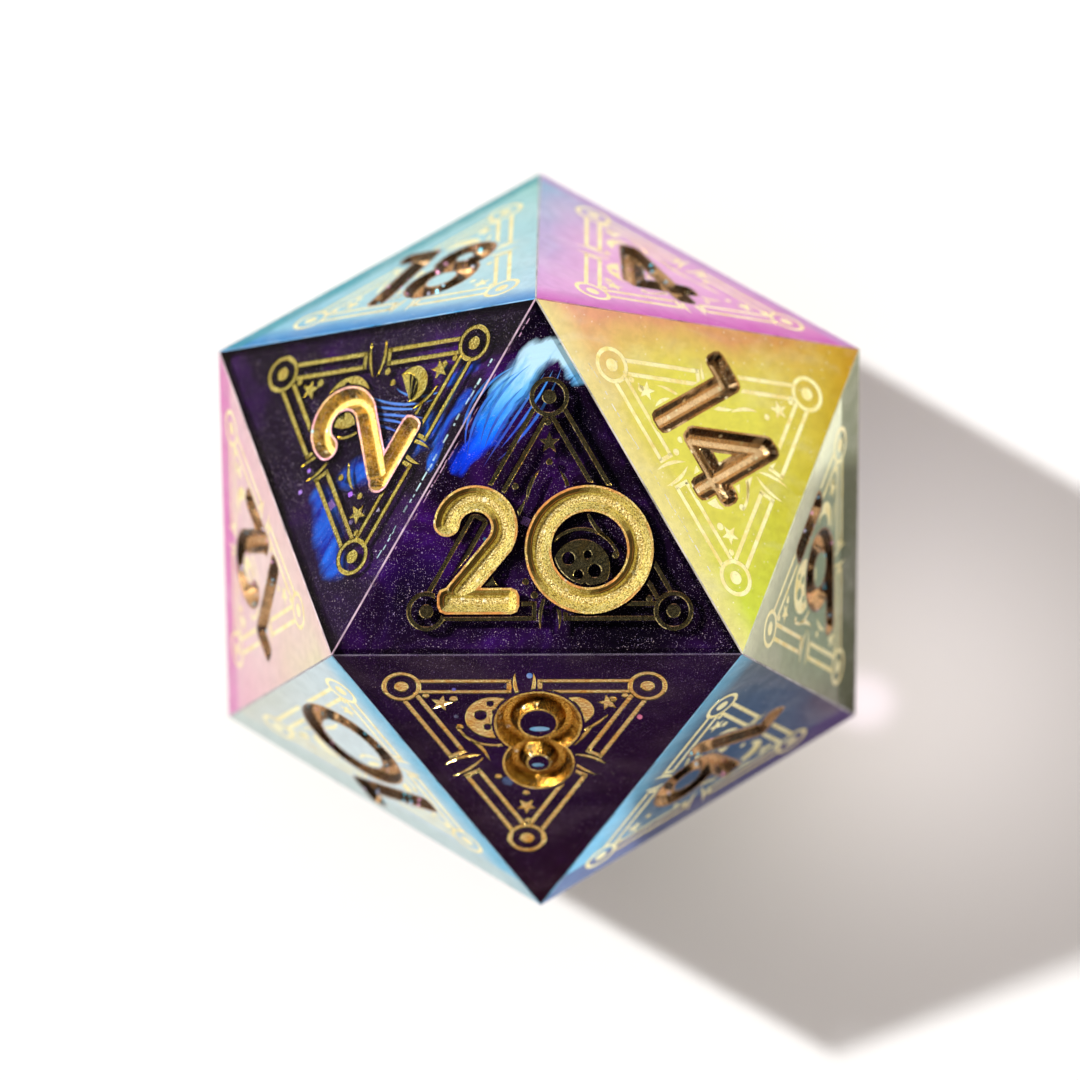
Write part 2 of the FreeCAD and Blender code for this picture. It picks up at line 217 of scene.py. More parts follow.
class Surface(Graph):
    """A material's nodes, with the place and the flat normal of the point they colour."""

    def __init__(self, name):
        super().__init__(bpy.data.materials.new(name))
        place = self.add("ShaderNodeNewGeometry")
        self.position = place.outputs["Position"]
        self.normal = place.outputs["True Normal"]

    def noise(self, scale, detail, rough=0.5, warp=0.0, vector=None, output="Fac"):
        node = self.add("ShaderNodeTexNoise", {
            "Vector": vector or self.position,
            "Scale": scale,
            "Detail": detail,
            "Roughness": rough,
            "Distortion": warp,
        })
        return node.outputs[output]

    def drift(self, scale, detail, size):
        """Vector that wanders from place to place, by up to about half of size each way."""
        shades = self.noise(scale, detail, output="Color")
        return self.vector("SCALE", self.vector("SUBTRACT", shades, 0.5), scale=size)

    def cells(self, scale, output="Distance"):
        node = self.add("ShaderNodeTexVoronoi", {"Vector": self.position, "Scale": scale})
        return node.outputs[output]

    def grains(self, scale, empty, soft, near, far):
        """Round grains, with some cells left empty: how lit the point is, and its cell's own number."""
        grain = self.ramp(self.cells(scale), (near, 1.0), (far, 0.0))
        apart = self.add("ShaderNodeSeparateColor", {"Color": self.cells(scale, "Color")})
        chosen = self.ramp(apart.outputs[0], (empty, 0.0), (empty + soft, 1.0))
        return self.math("MULTIPLY", grain, chosen), apart.outputs[1]

    def stretched(self, vector, scale, rotation):
        node = self.add("ShaderNodeMapping", {"Vector": vector, "Scale": scale, "Rotation": rotation})
        return node.outputs[0]

    def bump(self, height, strength, distance):
        node = self.add("ShaderNodeBump", {"Height": height, "Strength": strength, "Distance": distance})
        return node.outputs[0]

    def finish(self, shader):
        return self.end("ShaderNodeOutputMaterial", shader)

    def metal(self, base, metallic, rough, normal):
        """Finished material with a frosted metal surface."""
        shader = self.shader(
            "BsdfPrincipled", Base_Color=base, Metallic=metallic, Roughness=rough, Normal=normal
        )
        return self.finish(shader)


def give(obj, material):
    """The material becomes the object's only one."""
    obj.data.materials.clear()
    obj.data.materials.append(material)


def add_mesh(mesh, material):
    """New flat-shaded object of a mesh, named after it."""
    for polygon in mesh.polygons:
        polygon.use_smooth = False
    obj = bpy.data.objects.new(mesh.name, mesh)
    bpy.context.scene.collection.objects.link(obj)
    give(obj, material)
    return obj


def mesh_of(points, faces, name):
    mesh = bpy.data.meshes.new(name)
    mesh.from_pydata([tuple(p) for p in points], [], faces)
    mesh.update()
    return mesh


def stand_in(obj, node):
    """The object rides on the die's one body and is shown in place of a CAD node."""
    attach(obj, "root")
    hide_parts(node)


# ---- clear resin: the outside planes of the die, open where gold fills an engraving ----
def clear_material():
    g = Surface("clear_resin")
    dust = g.noise(2600, 4, 0.6)
    lines = g.noise(700, 3, 0.55, vector=g.stretched(g.position, (1, 9, 1), (0.3, 0.2, 0.8)))
    rough = g.ramp(g.math("MULTIPLY", dust, lines), (0.0, 0.0), (0.34, 0.004), (0.5, 0.05))
    glass = g.shader("BsdfGlass", Color=(0.985, 0.99, 1.0, 1), IOR=1.4, Roughness=rough)
    clear = g.shader("BsdfTransparent", Color=(0.96, 0.97, 1.0, 1))
    return g.finish(g.blend(g.ray("Shadow"), glass, clear))


def outside_of(node, inradius, name):
    """Mesh of the faces of a CAD node that lie on the planes at this distance from the centre."""
    outs = [face_axes(number).out for number in FACES]
    work = bmesh.new()
    work.from_mesh(NODES[node].data)
    rest = []
    for face in work.faces:
        middle = face.calc_center_median() - CENTRE
        if max(out.dot(middle) for out in outs) < inradius - ON_PLANE:
            rest.append(face)
    bmesh.ops.delete(work, geom=rest, context="FACES")
    mesh = bpy.data.meshes.new(name)
    work.to_mesh(mesh)
    work.free()
    return mesh


def make_skin():
    skin = add_mesh(outside_of("clear_body", BODY_INRADIUS, "clear_skin"), clear_material())
    stand_in(skin, "clear_body")


# ---- iridescent coat ----
# Tints of a face: at its three corners in the order of FACES, in the middle, along the edge between its
# last two corners, and along its outer rim; then the rim's width as a share of the face, and how much of
# what lies under the coat it hides.
TINTS = {
    20: ("1a3a86", "2c0a40", "200830", "240a50", "140420", "140420", 0.0, 0.05),
    2: ("3a1444", "1c0c60", "1a0a2c", "2a0c5c", "200a3c", "200a3c", 0.0, 0.12),
    8: ("4a1038", "30105c", "401070", "400c6c", "2c0848", "2c0848", 0.0, 0.34),
    14: ("c8962c", "d4e452", "f0ac90", "e6e25c", "f2e69c", "d8a04c", 0.0, 0.94),
    18: ("a4d8d2", "78c0e4", "c4e4f6", "c4eaee", "2880d0", "54a4ac", 0.07, 0.94),
    4: ("9cc0dc", "ecb4ea", "e488c4", "f6bce8", "d068c0", "c8a0d4", 0.05, 0.94),
    12: ("f0b8d4", "e488cc", "eeecc4", "f6e0dc", "f4d4d4", "e088c4", 0.10, 0.94),
    10: ("d8dac8", "d2e6f0", "bcdcea", "dcecf0", "6cc0e4", "c8dcdc", 0.10, 0.94),
    16: ("6c5478", "a4e0ff", "8898a4", "54709c", "88d4fc", "6c5890", 0.12, 0.94),
    6: ("78706c", "e4eccc", "f8fcdc", "a0b89c", "f4f8d8", "545840", 0.16, 0.94),
    1: ("9cc8e0", "d4a8dc", "e8d29c", "b8b4e0", "7cc4d8", "9cc8e0", 0.0, 0.88),
    19: ("e0b070", "9cc47c", "70bcc4", "c8c878", "e09c80", "e0b070", 0.08, 0.88),
    13: ("c48cd0", "8c9ce0", "7cc8dc", "a8a4e0", "d890bc", "c48cd0", 0.08, 0.88),
    7: ("78bcc8", "a8d498", "e0cc80", "98ccb4", "6ca8d8", "78bcc8", 0.08, 0.88),
    3: ("b0d08c", "7cc4b8", "8cb0e0", "a0ccc0", "d8cc80", "b0d08c", 0.08, 0.88),
    17: ("e0a4b8", "c4a0dc", "90b8e4", "ccb0dc", "e4b490", "e0a4b8", 0.08, 0.88),
    9: ("90a8e0", "b49cdc", "e09cc0", "b4a8dc", "80c4dc", "90a8e0", 0.08, 0.88),
    11: ("dcc47c", "e0a088", "d08cb8", "e0b08c", "b8cc7c", "dcc47c", 0.08, 0.88),
    5: ("80c8b8", "84b4e0", "b09cdc", "90b8d4", "a0d08c", "80c8b8", 0.08, 0.88),
    15: ("d894bc", "e0b48c", "ccd080", "dcb498", "b48cd4", "d894bc", 0.08, 0.88),
}
TINT_NAMES = ("tint_apex", "tint_second", "tint_third", "tint_middle", "tint_base", "tint_rim")


def coat_material():
    g = Surface("iridescent_coat")
    shades = [g.add("ShaderNodeAttribute", attribute_name=name) for name in TINT_NAMES]
    one, two, three, hub_tone, base_tone, rim_tone = (node.outputs["Color"] for node in shades)
    share = shades[0].outputs["Alpha"]
    rim_width = shades[-1].outputs["Alpha"]
    place = g.add("ShaderNodeAttribute", attribute_name="corner_shares").outputs["Vector"]
    # the tints run into each other with drifting borders
    moved = g.add("ShaderNodeSeparateXYZ", {0: g.vector("ADD", place, g.drift(190, 5, 0.32))})
    apex, second, third = (g.math("MAXIMUM", output, 0.0) for output in moved.outputs)
    across = g.math("DIVIDE", third, g.math("ADD", g.math("ADD", second, third), 0.0001))
    shade = g.mix(g.math("MINIMUM", apex, 1.0), g.mix(across, two, three), one)
    hub = g.math("MULTIPLY", g.math("MULTIPLY", g.math("MULTIPLY", apex, second), third), 27.0)
    hub = g.math("POWER", g.math("MINIMUM", hub, 1.0), 0.8)
    shade = g.mix(g.math("MULTIPLY", hub, 0.85), shade, hub_tone)
    low = g.math("ADD", g.math("MULTIPLY", g.part(place, 0), 0.8), g.math("MULTIPLY", apex, 0.2))
    shade = g.mix(g.ramp(low, (0.0, 0.85), (0.05, 0.55), (0.10, 0.0)), shade, base_tone)
    edge = g.add("ShaderNodeAttribute", attribute_name="outer_share").outputs["Fac"]
    shade = g.mix(g.math("MULTIPLY", g.math("LESS_THAN", edge, rim_width), 0.7), shade, rim_tone)
    # haze, grain and dust
    clouds = g.noise(300, 5, 0.62, 0.6, vector=g.stretched(g.position, (1, 2.6, 1.4), (0.4, 0.9, 0.5)))
    shade = g.mix(g.ramp(clouds, (0.48, 0.0), (0.74, 0.16)), shade, (1.0, 0.98, 0.96, 1))
    grime = g.ramp(g.noise(2600, 3, 0.6), (0.35, 0.25), (0.6, 0.0))
    shade = g.mix(grime, shade, (0.6, 0.58, 0.6, 1), "MULTIPLY")
    shade = g.mix(g.ramp(g.cells(3600), (0.05, 0.5), (0.12, 0.0)), shade, (1, 1, 1, 1))
    normal = g.bump(g.noise(500, 3, 0.5, 0.3), 0.10, 0.1 * MM)
    mirror = g.shader("BsdfAnisotropic", Color=shade, Roughness=0.10, Normal=normal)
    pearl = g.shader("BsdfDiffuse", Color=shade)
    clear = g.shader("BsdfTransparent", Color=(1, 1, 1, 1))
    return g.finish(g.blend(share, clear, g.blend(0.12, mirror, pearl)))


def corner_shares(point, corners):
    """How much of each corner of a face a point on it holds; the three add up to 1."""
    normal = (corners[1] - corners[0]).cross(corners[2] - corners[0])
    shares = []
    for k in range(3):
        one, two = corners[(k + 1) % 3], corners[(k + 2) % 3]
        shares.append((one - point).cross(two - point).dot(normal) / normal.length_squared)
    return shares


def make_coat():
    mesh = outside_of("iridescent_coat", INRADIUS, "coat")
    for name in TINT_NAMES:
        mesh.color_attributes.new(name, "FLOAT_COLOR", "CORNER")
    mesh.attributes.new("corner_shares", "FLOAT_VECTOR", "CORNER")
    mesh.attributes.new("outer_share", "FLOAT", "CORNER")
    # the layers are looked up only now, as each new one moves the others
    layers = [mesh.attributes[name] for name in TINT_NAMES]
    places = mesh.attributes["corner_shares"]
    outers = mesh.attributes["outer_share"]
    outs = {number: face_axes(number).out for number in FACES}
    for polygon in mesh.polygons:
        number = max(FACES, key=lambda n: outs[n].dot(polygon.center - CENTRE))
        corners = FACES[number]
        *tints, rim_width, cover = TINTS[number]
        for loop in polygon.loop_indices:
            shares = corner_shares(mesh.vertices[mesh.loops[loop].vertex_index].co, corners)
            places.data[loop].vector = shares
            outers.data[loop].value = shares[1] if corners[1].z > corners[2].z else shares[2]
            for slot, tint in enumerate(tints):
                layers[slot].data[loop].color = colour(tint, cover if slot == 0 else rim_width)
    stand_in(add_mesh(mesh, coat_material()), "iridescent_coat")


# ---- painted highlights on the bare resin along the sharp edges, where the coat stops short, and painted glints ----
# tint and strength of the painted highlight on each edge in the upper half, by the numbers of its two faces
EDGE_HIGHLIGHTS = {
    (2, 20): ("f4c8e4", 0.85),
    (8, 20): ("8c78a8", 0.40),
    (14, 20): ("fff4dc", 0.90),
    (2, 18): ("58b4f4", 0.9),
    (2, 12): ("f8dce4", 0.9),
    (8, 10): ("7ccaf0", 0.9),
    (8, 16): ("6cc8f4", 0.9),
    (4, 14): ("e8908c", 0.8),
    (6, 14): ("ecf4c8", 0.9),
}
OTHER_EDGE_HIGHLIGHT = ("f2eef4", 0.55)
GAP = 0.034 * MM          # width of the bare strip on each side of an edge
LIFT = 0.0006 * MM        # the rows of painted glints and the painted glints stand this far off the face
# rows of painted glints, pale dashes of light near an edge: the edge's two faces, the face they lie in,
# distance from the edge in mm, where along the edge they start and end, how many times the usual width,
# tint; then each dash's sizes in mm
GLINT_ROWS = (
    (2, 20, 2, 0.33, 0.18, 0.74, 2.0, "c8f8ff"),
    (2, 20, 20, 0.10, 0.05, 0.80, 1.0, "f0a8dc"),
    (14, 20, 14, 0.55, 0.2, 0.78, 1.0, "fffbe8"),
)
GLINT_DASH_SHARE = 0.62       # of the places in a row that hold a painted glint
GLINT_DASH_LENGTH = (0.06, 0.34)
GLINT_DASH_WIDTH = (0.02, 0.045)
GLINT_DASH_SPACE = (0.01, 0.12)
GLINT_DASH_STRAY = (-0.03, 0.03)
# glints in the face that carries 8, two of them inside its loops: x, y, half width, height to width, tint
GLINTS = (
    (0.02, 1.10, 0.20, 0.40, "38b0e8"),
    (-0.05, -0.52, 0.33, 0.32, "38b0e8"),
    (0.25, -2.90, 0.10, 1.2, "2c8cf0"),
    (-3.30, -1.05, 0.09, 1.2, "e01c80"),
    (2.70, -2.30, 0.07, 1.0, "2c30d8"),
)
GLINT_SIDES = 20


class Patches:
    """Flat patches laid on the faces, each with its own tint."""

    def __init__(self):
        self.points = []
        self.faces = []
        self.tints = []

    def add(self, out, corners, tint):
        ring = list(range(len(self.points), len(self.points) + len(corners)))
        side = (corners[1] - corners[0]).cross(corners[-1] - corners[0])
        self.points.extend(corners)
        self.faces.append(ring if side.dot(out) > 0 else ring[::-1])
        self.tints.append(tint)


def shared_edges():
    """(one face, the other face) -> the two ends of the edge between them."""
    found = {}
    numbers = sorted(FACES)
    for place, one in enumerate(numbers):
        for two in numbers[place + 1:]:
            ends = [p for p in FACES[one] if any((p - q).length < SAME_POINT for q in FACES[two])]
            if len(ends) == 2:
                found[one, two] = ends
    return found


def inward_from(number, start, finish):
    """Direction in a face from one of its edges toward its middle, and the face's outward direction."""
    axes = face_axes(number)
    inward = axes.out.cross((finish - start).normalized())
    return (inward if inward.dot(axes.middle - start) > 0 else -inward), axes.out


def lay_strips(patches, edges):
    """A painted highlight strip on both sides of every edge, mitred at the corners."""
    for pair, (start, finish) in edges.items():
        along = (finish - start).normalized() * (GAP * math.sqrt(3))
        for number in pair:
            inward, out = inward_from(number, start, finish)
            inner = inward * GAP
            corners = [start, finish, finish + inner - along, start + inner + along]
            patches.add(out, corners, colour(*EDGE_HIGHLIGHTS.get(pair, OTHER_EDGE_HIGHLIGHT)))


def lay_glint_rows(patches, edges):
    # painted glints: rows of pale dashes along an edge
    chance = random.Random(7)
    for one, two, number, distance, low, high, width, code in GLINT_ROWS:
        start, finish = edges[one, two]
        if start.y < finish.y:
            start, finish = finish, start
        inward, out = inward_from(number, start, finish)
        share = low
        while share < high:
            length = chance.uniform(*GLINT_DASH_LENGTH) * MM / EDGE
            if chance.random() < GLINT_DASH_SHARE:
                wide = chance.uniform(*GLINT_DASH_WIDTH) * MM * width
                near = inward * (distance * MM + chance.uniform(*GLINT_DASH_STRAY) * MM) + out * LIFT
                far = near + inward * wide
                head, tail = start.lerp(finish, share), start.lerp(finish, share + length)
                corners = [head + near, tail + near, tail + far, head + far]
                patches.add(out, corners, colour(code, chance.uniform(0.5, 1.0)))
            share += length + chance.uniform(*GLINT_DASH_SPACE) * MM / EDGE


def lay_glints(patches):
    axes = face_axes(8)
    for x, y, size, tall, code in GLINTS:
        hub = on_face(8, x * MM, y * MM, -LIFT)
        corners = []
        for k in range(GLINT_SIDES):
            turn = 2 * math.pi * k / GLINT_SIDES
            spoke = axes.right * math.cos(turn) + axes.up * (tall * math.sin(turn))
            corners.append(hub + spoke * (size * MM))
        patches.add(axes.out, corners, colour(code, 0.9))


def edge_highlight_material():
    # painted highlights and glints: pale tints that stand for light caught along the edges and in the face
    # of the 8
    g = Surface("resin_edge_highlight")
    tint = g.add("ShaderNodeAttribute", attribute_name="edge_highlight_tint")
    worn = g.noise(900, 4, 0.6)
    share = g.math("MULTIPLY", tint.outputs["Alpha"], g.ramp(worn, (0.34, 0.45), (0.58, 1.0)))
    pale = g.ramp(g.noise(2500, 3, 0.6), (0.4, 0.3), (0.7, 0.0))
    shade = g.mix(pale, tint.outputs["Color"], (1, 1, 1, 1))
    pearl = g.shader("BsdfDiffuse", Color=shade)
    mirror = g.shader("BsdfAnisotropic", Color=shade, Roughness=0.2)
    clear = g.shader("BsdfTransparent", Color=(1, 1, 1, 1))
    return g.finish(g.blend(share, clear, g.blend(0.4, pearl, mirror)))


def make_edges():
    patches = Patches()
    edges = shared_edges()
    lay_strips(patches, edges)
    lay_glint_rows(patches, edges)
    lay_glints(patches)
    mesh = mesh_of(patches.points, patches.faces, "edge_lines")
    layer = mesh.color_attributes.new("edge_highlight_tint", "FLOAT_COLOR", "CORNER")
    for polygon, tint in zip(mesh.polygons, patches.tints):
        for loop in polygon.loop_indices:
            layer.data[loop].color = tint
    obj = add_mesh(mesh, edge_highlight_material())
    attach(obj, "root")


# ---- core: dark purple resin with clouds of blue and a bright wisp by the apex of the 20 ----
# the wisp's bent spine in the plane of the 20, in mm, and how far the wisp reaches around each stretch
WISP_SPINE = ((-2.45, 2.4), (-1.65, 3.2), (-1.0, 4.5), (0.0, 5.7), (0.75, 5.95), (1.3, 5.1))
WISP_REACH = (0.34, 0.42, 0.46, 0.42, 0.34)
# royal blue streaks: face, shares of the face's corners at both ends, reach in mm
STREAKS = (
    (2, (0.36, 0.12, 0.52), (0.18, 0.08, 0.74), 0.5),
    (2, (0.30, 0.26, 0.44), (0.10, 0.55, 0.35), 0.5),
    (2, (0.05, 0.70, 0.25), (0.05, 0.50, 0.45), 0.2),
    (2, (0.14, 0.66, 0.20), (0.10, 0.74, 0.16), 0.26),
)
# black hollows near the corners of the 20 and more violet under the 8: face, shares of the face's corners,
# reach in mm, colour, strength
HOLLOWS = (
    (20, (0.18, 0.72, 0.10), 1.9, "06020a", 0.85),
    (20, (0.10, 0.22, 0.68), 2.6, "06020a", 0.92),
    (20, (0.62, 0.08, 0.30), 1.2, "0a0414", 0.7),
    (8, (0.30, 0.35, 0.35), 3.4, "300848", 0.55),
)
# sizes of glitter grains, painted as bright specks that stand for their glints: cells to a metre, and the
# share of the cells left empty
GLITTER_GLINTS = ((6500, 0.95), (12000, 0.84), (19000, 0.72), (29000, 0.6))


def under_face(number, shares):
    """Point of the core's surface under a face, from the shares of the face's three corners."""
    apex, one, two = (corner * share for corner, share in zip(FACES[number], shares))
    return CENTRE + (apex + one + two - CENTRE) * (CORE_INRADIUS / INRADIUS)


def capsule(g, spot, start, finish, radius):
    """1 on the line from start to finish, falling to 0 about a radius away."""
    line = finish - start
    offset = g.vector("SUBTRACT", spot, tuple(start))
    along = g.math("DIVIDE", g.vector("DOT_PRODUCT", offset, tuple(line)), line.length_squared, clamp=True)
    near = g.vector("SUBTRACT", offset, g.vector("SCALE", tuple(line), scale=along))
    far = g.math("DIVIDE", g.vector("LENGTH", near), radius)
    return g.math("POWER", math.e, g.math("MULTIPLY", g.math("POWER", far, 2.4), -1.0))


def brightest(g, values):
    total = values[0]
    for value in values[1:]:
        total = g.math("MAXIMUM", total, value)
    return total


def toward_apex(g, span, start):
    """Climbs by 1 over each span of so many mm along y, the way the 20 points, and is -start at y = 0."""
    return g.math("MULTIPLY_ADD", g.part(g.position, 1), 1 / (span * MM), -start)


def resin_clouds(g, spot, soft):
    """Violet clouds and black hollows."""
    broad = g.noise(120, 3, 0.5, 0.8)
    base = g.ramp(
        soft,
        (0.34, colour("050108")),
        (0.48, colour("16041e")),
        (0.60, colour("2e0746")),
        (0.72, colour("460f7c")),
        (0.86, colour("2c1ca4")),
    )
    base = g.mix(g.ramp(broad, (0.48, 0.0), (0.60, 0.88)), base, (0.008, 0.002, 0.014, 1))
    for number, shares, reach, shade, most in HOLLOWS:
        away = g.vector("DISTANCE", spot, tuple(under_face(number, shares)))
        far = g.math("DIVIDE", away, reach * MM)
        base = g.mix(g.ramp(far, (0.35, most), (1.0, 0.0)), base, colour(shade))
    return base


def add_streaks(g, base, spot, hair):
    streaks = []
    for number, first, second, reach in STREAKS:
        start, finish = under_face(number, first), under_face(number, second)
        streaks.append(capsule(g, spot, start, finish, reach * MM))
    streak = g.math("MULTIPLY", brightest(g, streaks), g.math("MULTIPLY_ADD", hair, 1.2, 0.1))
    blue = g.ramp(hair, (0.35, colour("0e249c")), (0.7, colour("1c6cdc")))
    return g.mix(g.ramp(streak, (0.12, 0.0), (0.6, 0.9)), base, blue)


def add_wisp(g, base, spot, hair):
    """A bent feather in the face that carries 20, blue at its foot and nearly white at its crook."""
    depth = INRADIUS - CORE_INRADIUS
    spine = [on_face(20, x * MM, y * MM, depth) for x, y in WISP_SPINE]
    lobes = []
    for start, finish, reach in zip(spine, spine[1:], WISP_REACH):
        lobes.append(capsule(g, spot, start, finish, reach * MM))
    body = g.math("MULTIPLY", brightest(g, lobes), g.math("MULTIPLY_ADD", hair, 2.2, -0.3))
    tone = g.ramp(
        g.math("ADD", g.math("MULTIPLY", toward_apex(g, 4.4, 0.42), 0.8), g.math("MULTIPLY", hair, 0.55)),
        (0.22, colour("08128c")),
        (0.42, colour("0a40e8")),
        (0.62, colour("1c80f4")),
        (0.84, colour("6cbcf0")),
        (1.0, colour("c0e6f6")),
    )
    return g.mix(g.ramp(body, (0.16, 0.0), (0.5, 1.0)), base, tone)


def add_glitter_glints(g, base):
    """Glitter grains of several sizes, thicker in some places, painted as bright specks for their glints.
    """
    crowd = g.ramp(g.noise(330, 4, 0.6), (0.40, 0.25), (0.62, 1.0))
    for scale, empty in GLITTER_GLINTS:
        lit, own = g.grains(scale, empty, 0.04, 0.1, 0.24)
        base = g.mix(g.math("MULTIPLY", lit, crowd), base, g.mix(own, colour("ffe8dc"), colour("b49ce4")))
    return base


def core_material():
    g = Surface("core_resin")
    spot = g.vector("ADD", g.position, g.drift(420, 4, 1.1 * MM))
    turned = g.stretched(spot, (1, 1, 1), (0, 0, -0.9))
    hair = g.noise(520, 6, 0.62, 0.4, vector=g.stretched(turned, (1, 7, 2), (0, 0, 0)))
    soft = g.noise(230, 6, 0.6, 1.4)
    base = resin_clouds(g, spot, soft)
    base = add_streaks(g, base, spot, hair)
    base = add_wisp(g, base, spot, hair)
    base = add_glitter_glints(g, base)
    rough = g.ramp(soft, (0.3, 0.25), (0.7, 0.5))
    normal = g.bump(soft, 0.25, 0.3 * MM)
    return g.finish(g.shader("BsdfPrincipled", Base_Color=base, Roughness=rough, Normal=normal, IOR=1.1))


# ---- gold: the foil ornament and the paint in the numbers ----
# which lit or shaded copy of the one gold a number and its ornament get, as painted light and shade; a face
# in the lower half is like its opposite one
GOLD_LIGHT_COPIES = {20: "top", 2: "two", 8: "eight", 14: "fourteen"}
# foil, in lit and shaded copies of one foil: dark and light tone, how many dark specks it gets (part wear,
# part painted shade), then how far in and down its sloping sides reach, in mm
FOILS = {
    "plain": ("f0dc80", "fff8bc", 0.0, 0.005, 0.002),
    "top": ("c4a868", "f0e0a4", 0.75, 0.026, 0.022),
    "two": ("dcc050", "fff08c", 0.35, 0.026, 0.022),
    "eight": ("f8c254", "ffee98", 0.10, 0.026, 0.022),
}
# paint, in lit and shaded copies of the one gold paint: rim, bright and dark of the walls, floor, painted
# glints, roughness, share of painted glints, how dark the painted shade on the walls turned from the light
# is, the share of the depth where the floor's colour starts, and how grainy
PAINTS = {
    "top": ("d8904c", "fae880", "d0b450", "dcbc68", "fff8d8", 0.50, 0.12, 0.95, 0.93, 1.0),
    "two": ("e8a8b8", "e8b848", "74481c", "fce080", "ffffe8", 0.30, 0.25, 0.6, 0.86, 0.4),
    "eight": ("f4cc6c", "d4942c", "3c220c", "f8bc48", "ffecc0", 0.20, 0.2, 0.0, 0.86, 0.1),
    "fourteen": ("a87438", "5c3a1c", "28140a", "ffd8a0", "fff0c0", 0.26, 0.2, 0.0, 0.60, 0.1),
    "outer": ("a87430", "54341a", "1c0e08", "eebc84", "ffb8e0", 0.24, 0.5, 0.0, 0.68, 0.1),
}
LIGHT_FROM = 150          # azimuth of the room's lights


def gold_frost(g, fine, strength):
    """Bumps of fine powder and round grains."""
    frost = g.noise(fine, 2, 0.7)
    grains = g.cells(fine * 1.3)
    return g.bump(g.math("ADD", frost, g.math("MULTIPLY", grains, 0.8)), strength, 0.02 * MM)


def foil_material(kind):
    low, high, wear_and_shade = FOILS[kind][:3]
    g = Surface("gold_foil_" + kind)
    mottled = g.noise(1500, 5, 0.65, 0.4)
    base = g.ramp(mottled, (0.32, colour(low)), (0.56, colour(high)))
    base = g.mix(g.ramp(g.noise(420, 4, 0.55), (0.36, 0.18), (0.52, 0.0)), base, colour("c07a58"))
    # dark specks: part wear, part painted shade, most on the face that carries 20
    base = g.mix(g.ramp(g.noise(22000, 2, 0.8), (0.44, wear_and_shade), (0.56, 0.0)), base, colour("241408"))
    return g.metal(base, 0.97, g.ramp(mottled, (0.3, 0.26), (0.7, 0.15)), gold_frost(g, 9000, 0.35))


def add_painted_reflections(g, base, floor):
    """Painted reflections: dark and bright bands, as polished walls turn through the room."""
    turn = g.vector("SCALE", g.normal, scale=0.9)
    shift = g.vector("SCALE", g.position, scale=260.0)
    reflection_band = g.noise(2.2, 2, 0.5, vector=g.vector("ADD", turn, shift))
    base = g.mix(g.ramp(reflection_band, (0.40, 0.85), (0.48, 0.0)), base, colour("1c0e08"))
    return g.mix(g.ramp(reflection_band, (0.56, 0.0), (0.62, 0.7)), base, colour(floor))


def add_powder(g, base, share):
    """Dark and pale specks of powder."""
    speck = g.noise(17000, 2, 0.8)
    dark = g.math("MULTIPLY", share, g.ramp(speck, (0.38, 0.9), (0.48, 0.0)))
    pale = g.math("MULTIPLY", share, g.ramp(speck, (0.53, 0.0), (0.62, 0.9)))
    return g.mix(pale, g.mix(dark, base, colour("4c3414")), colour("fffcc8"))


def add_outlines(g, base, depth, away, rim):
    """A faint line half way down and a rim at the face, broken here and there."""
    broken = g.ramp(g.noise(700, 3, 0.6), (0.42, 0.25), (0.58, 1.0))
    wave = g.math("ADD", depth, g.math("MULTIPLY", g.noise(500, 3, 0.5), 0.16))
    line = g.ramp(wave, (0.50, 0.0), (0.54, 0.9), (0.57, 0.9), (0.61, 0.0))
    # the line shows more on the walls turned from the light, where the painted shade lies
    line = g.math("MULTIPLY", line, g.math("MULTIPLY_ADD", away, 0.7, 0.25))
    rims = g.ramp(depth, (0.02, 0.95), (0.06, 0.0))
    return g.mix(g.math("MULTIPLY", g.math("MAXIMUM", line, rims), broken), base, colour(rim))


def add_fleck_glints(g, base, glint_tint, crowd):
    # painted glints: bright flecks, white or gold, with cyan too on the gold that has many of them
    lit = g.grains(4200, 0.99 - crowd * 0.4, 0.01, 0.2, 0.4)[0]
    other = "7ce4ff" if crowd > 0.2 else glint_tint
    hue = g.mix(g.ramp(g.noise(900, 2), (0.45, 0.0), (0.55, 1.0)), colour(glint_tint), colour(other))
    return g.mix(lit, base, hue)


def paint_material(number, kind):
    """Gold paint in one number's grooves: a rim at the face, frosted walls and a brighter floor."""
    rim, bright, dark, floor, glint_tint, rough, crowd, far_wall_shade, foot, grainy = PAINTS[kind]
    g = Surface("gold_paint_%02d" % number)
    out = face_axes(number).out
    reach = g.vector("DOT_PRODUCT", g.vector("SUBTRACT", g.position, tuple(CENTRE)), tuple(out))
    depth = g.math("DIVIDE", g.math("SUBTRACT", INRADIUS, reach), GROOVE)
    mottled = g.noise(2200, 5, 0.7, 0.4)
    base = g.ramp(mottled, (0.34, colour(dark)), (0.54, colour(bright)))
    if kind != "top":
        base = add_painted_reflections(g, base, floor)
    base = g.mix(g.ramp(depth, (foot, 0.0), (foot + 0.04, 0.9)), base, colour(floor))
    # painted shade: the walls turned away from the light's side get a dull brown, less of it near the
    # floor, and fewer powder specks
    light_facing = g.vector("DOT_PRODUCT", g.normal, tuple(direction(LIGHT_FROM, 0)))
    away = g.ramp(g.math("MULTIPLY_ADD", light_facing, 0.5, 0.5), (0.24, far_wall_shade), (0.46, 0.0))
    painted_shade = g.math("MULTIPLY", away, g.ramp(depth, (0.60, 1.0), (0.74, 0.2)))
    base = g.mix(painted_shade, base, colour("2c130a"))
    specks = g.math("MULTIPLY_ADD", painted_shade, -1.03 * grainy, grainy, clamp=True)
    base = add_powder(g, base, specks)
    base = add_outlines(g, base, depth, away, rim)
    base = add_fleck_glints(g, base, glint_tint, crowd)
    metallic = 0.7 if kind in ("top", "two") else 0.95
    rough = g.ramp(mottled, (0.3, rough + 0.12), (0.7, rough - 0.08))
    return g.metal(base, metallic, rough, gold_frost(g, 14000, 1.0))


